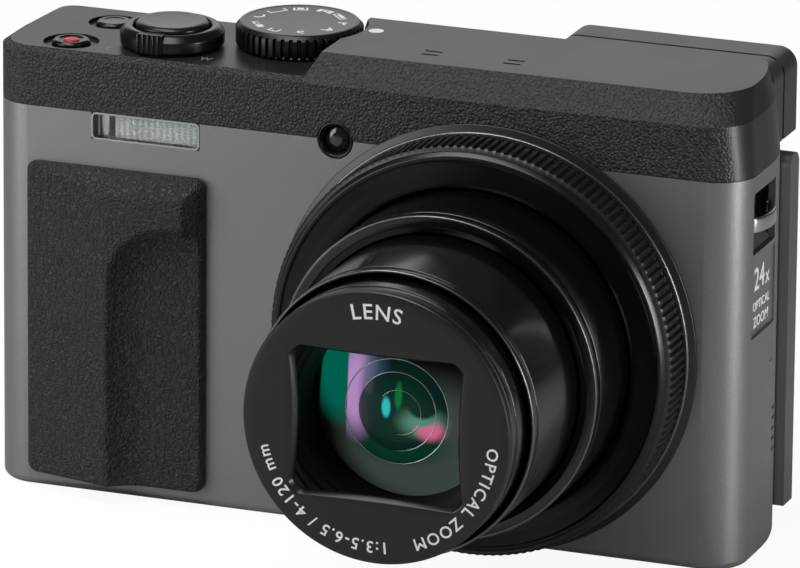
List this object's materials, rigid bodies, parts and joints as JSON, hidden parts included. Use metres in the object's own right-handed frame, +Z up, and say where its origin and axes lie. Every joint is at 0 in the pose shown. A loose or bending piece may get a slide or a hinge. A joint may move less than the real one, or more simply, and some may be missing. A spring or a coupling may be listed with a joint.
{
  "type": "compact digital camera",
  "caption": "Pocket digital camera with a telescoping zoom lens, a leatherette grip, top dials, an eye-level viewfinder and a flip-up rear screen.",
  "frame": {"origin": "centre of the tripod socket's mouth, in the plane of the base", "axes": "+X towards the viewfinder end, -Y the way the lens looks, +Z up"},
  "size_m": [0.1118, 0.0747, 0.0673],
  "materials": {
    "silver_paint": "satin grey paint over aluminium",
    "black_body": "moulded black plastic",
    "black_crinkle": "fine crinkle paint",
    "leatherette": "grained black leatherette",
    "rubber": "soft black rubber",
    "clear": "clear",
    "bright_metal": "bright",
    "sleeve": "shrink sleeve",
    "black_metal": "black anodised",
    "steel": "plain",
    "chip": "sensor cover glass",
    "circuit_board": "solder mask",
    "battery_case": "sleeved metal case",
    "card_plastic": "moulded",
    "optical_glass": "coated optical glass",
    "gloss_black": "semi-gloss black",
    "baffle_grey": "moulded dark grey-green",
    "screen_gloss": "gloss black screen cover"
  },
  "bodies": {
    "camera_body": {"front_cover": "silver_paint", "rear_cover": "black_body", "top_cover": "black_crinkle", "grip_pad": "leatherette", "thumb_pad": "rubber", "flash_window": "clear", "flash_reflector": "bright_metal", "flash_tube": "clear", "flash_capacitor": "sleeve", "af_lamp_lens": "clear", "lens_flange_ring": "black_metal", "lens_bezel": "black_metal", "lens_guide_tube": "black_body", "sensor_plate": "steel", "image_sensor": "chip", "focus_rods": "steel", "zoom_motor": "steel", "chassis_frame": "steel", "main_board": "circuit_board", "tripod_socket": "steel", "strap_lugs": "bright_metal", "battery_holder": "black_body", "battery": "battery_case", "memory_card": "card_plastic", "finder_frame": "black_body", "finder_eyepiece": "optical_glass", "case_screws": "black_metal", "hinge_pins": "steel", "terminal_sockets": "steel"},
    "control_ring": {"control_ring": "black_metal"},
    "barrel_outer": {"barrel_outer": "gloss_black"},
    "barrel_middle": {"barrel_middle": "gloss_black"},
    "barrel_inner": {"barrel_inner": "gloss_black", "name_ring": "black_metal", "front_baffle": "baffle_grey", "front_lens": "optical_glass"},
    "blade_upper_inner": {"barrier_blade_upper_inner": "black_metal"},
    "blade_upper_outer": {"barrier_blade_upper_outer": "black_metal"},
    "blade_lower_inner": {"barrier_blade_lower_inner": "black_metal"},
    "blade_lower_outer": {"barrier_blade_lower_outer": "black_metal"},
    "zoom_group": {"zoom_carriage": "black_body", "zoom_lens": "optical_glass"},
    "focus_group": {"focus_carriage": "black_body", "focus_lens": "optical_glass"},
    "mode_dial": {"mode_dial": "black_metal"},
    "shutter_button": {"shutter_button": "black_metal"},
    "zoom_lever": {"zoom_lever": "black_metal"},
    "movie_button": {"movie_button": "black_metal"},
    "power_button": {"power_button": "black_metal"},
    "rear_dial": {"rear_dial": "black_body"},
    "menu_button": {"menu_button": "black_body"},
    "play_button": {"play_button": "black_body"},
    "function_button": {"function_button": "black_body"},
    "screen_arm": {"screen_arm": "steel"},
    "screen": {"screen_frame": "black_body", "screen_glass": "screen_gloss"},
    "battery_door": {"battery_door": "silver_paint"},
    "door_latch": {"door_latch": "black_body"},
    "terminal_door": {"terminal_door": "silver_paint"},
    "diopter_dial": {"diopter_dial": "black_body"}
  },
  "joints": [
    {"name": "control_ring_turn", "type": "hinge", "parent": "camera_body", "child": "control_ring", "pos_m": [0.0185, -0.0165, 0.02962], "axis": [0, -1, 0], "continuous": true},
    {"name": "lens_retract", "type": "slide", "parent": "camera_body", "child": "barrel_outer", "axis": [0, 1, 0], "range_m": [-0.003, 0.0114]},
    {"name": "middle_barrel_retract", "type": "slide", "parent": "barrel_outer", "child": "barrel_middle", "axis": [0, 1, 0], "range_m": [-0.00445, 0.0169]},
    {"name": "inner_barrel_retract", "type": "slide", "parent": "barrel_middle", "child": "barrel_inner", "axis": [0, 1, 0], "range_m": [-0.00175, 0.0066]},
    {"name": "zoom_group_travel", "type": "slide", "parent": "camera_body", "child": "zoom_group", "axis": [0, 1, 0], "range_m": [-0.00475, 0.0181]},
    {"name": "focus_travel", "type": "slide", "parent": "camera_body", "child": "focus_group", "axis": [0, 1, 0], "range_m": [-0.0015, 0.0015]},
    {"name": "barrier_close", "type": "slide", "parent": "barrel_inner", "child": "blade_upper_inner", "axis": [0, 0, -1], "range_m": [0, 0.0103]},
    {"name": "upper_outer_blade_close", "type": "slide", "parent": "barrel_inner", "child": "blade_upper_outer", "axis": [0, 0, -1], "range_m": [0, 0.0052]},
    {"name": "lower_inner_blade_close", "type": "slide", "parent": "barrel_inner", "child": "blade_lower_inner", "axis": [0, 0, 1], "range_m": [0, 0.0104]},
    {"name": "lower_outer_blade_close", "type": "slide", "parent": "barrel_inner", "child": "blade_lower_outer", "axis": [0, 0, 1], "range_m": [0, 0.0052]},
    {"name": "mode_dial_turn", "type": "hinge", "parent": "camera_body", "child": "mode_dial", "pos_m": [-0.01515, 0.0029, 0.0657], "axis": [0, 0, 1], "continuous": true},
    {"name": "shutter_press", "type": "slide", "parent": "camera_body", "child": "shutter_button", "axis": [0, 0, -1], "range_m": [0, 0.0009], "stiffness_N_per_m": 700},
    {"name": "zoom_lever_turn", "type": "hinge", "parent": "camera_body", "child": "zoom_lever", "pos_m": [-0.03165, -0.0033, 0.0653], "axis": [0, 0, 1], "range_deg": [-25, 25], "stiffness_Nm_per_rad": 0.01},
    {"name": "movie_press", "type": "slide", "parent": "camera_body", "child": "movie_button", "axis": [0, 0, -1], "range_m": [0, 0.0005], "stiffness_N_per_m": 700},
    {"name": "power_press", "type": "slide", "parent": "camera_body", "child": "power_button", "axis": [0, 0, -1], "range_m": [0, 0.0005], "stiffness_N_per_m": 700},
    {"name": "rear_dial_turn", "type": "hinge", "parent": "camera_body", "child": "rear_dial", "pos_m": [-0.037, 0.011, 0.024], "axis": [0, 1, 0], "continuous": true},
    {"name": "menu_press", "type": "slide", "parent": "camera_body", "child": "menu_button", "axis": [0, -1, 0], "range_m": [0, 0.0004], "stiffness_N_per_m": 600},
    {"name": "play_press", "type": "slide", "parent": "camera_body", "child": "play_button", "axis": [0, -1, 0], "range_m": [0, 0.0004], "stiffness_N_per_m": 600},
    {"name": "function_press", "type": "slide", "parent": "camera_body", "child": "function_button", "axis": [0, -1, 0], "range_m": [0, 0.0004], "stiffness_N_per_m": 600},
    {"name": "screen_arm_tilt", "type": "hinge", "parent": "camera_body", "child": "screen_arm", "pos_m": [0.018, 0.008, 0.0056], "axis": [-1, 0, 0], "range_deg": [0, 20.5]},
    {"name": "screen_flip", "type": "hinge", "parent": "screen_arm", "child": "screen", "pos_m": [0.018, 0.01085, 0.05205], "axis": [1, 0, 0], "range_deg": [0, 200]},
    {"name": "battery_door_open", "type": "hinge", "parent": "camera_body", "child": "battery_door", "pos_m": [-0.0312, -0.0099, 0.0008], "axis": [-1, 0, 0], "range_deg": [0, 95]},
    {"name": "latch_slide", "type": "slide", "parent": "battery_door", "child": "door_latch", "axis": [1, 0, 0], "range_m": [0, 0.002]},
    {"name": "terminal_door_open", "type": "hinge", "parent": "camera_body", "child": "terminal_door", "pos_m": [-0.0546, -0.0001, 0.03], "axis": [0, 0, -1], "range_deg": [0, 90]},
    {"name": "diopter_turn", "type": "hinge", "parent": "camera_body", "child": "diopter_dial", "pos_m": [0.01935, 0.0145, 0.0606], "axis": [1, 0, 0], "range_deg": [-120, 120]}
  ],
  "couplings": [
    {"joint": "middle_barrel_retract", "follows": "lens_retract", "ratio": 1.4737},
    {"joint": "inner_barrel_retract", "follows": "lens_retract", "ratio": 0.57017},
    {"joint": "zoom_group_travel", "follows": "lens_retract", "ratio": 1.5789},
    {"joint": "upper_outer_blade_close", "follows": "barrier_close", "ratio": 0.5},
    {"joint": "lower_inner_blade_close", "follows": "barrier_close", "ratio": 1},
    {"joint": "lower_outer_blade_close", "follows": "barrier_close", "ratio": 0.5},
    {"joint": "screen_arm_tilt", "follows": "screen_flip", "ratio": 0.1}
  ]
}
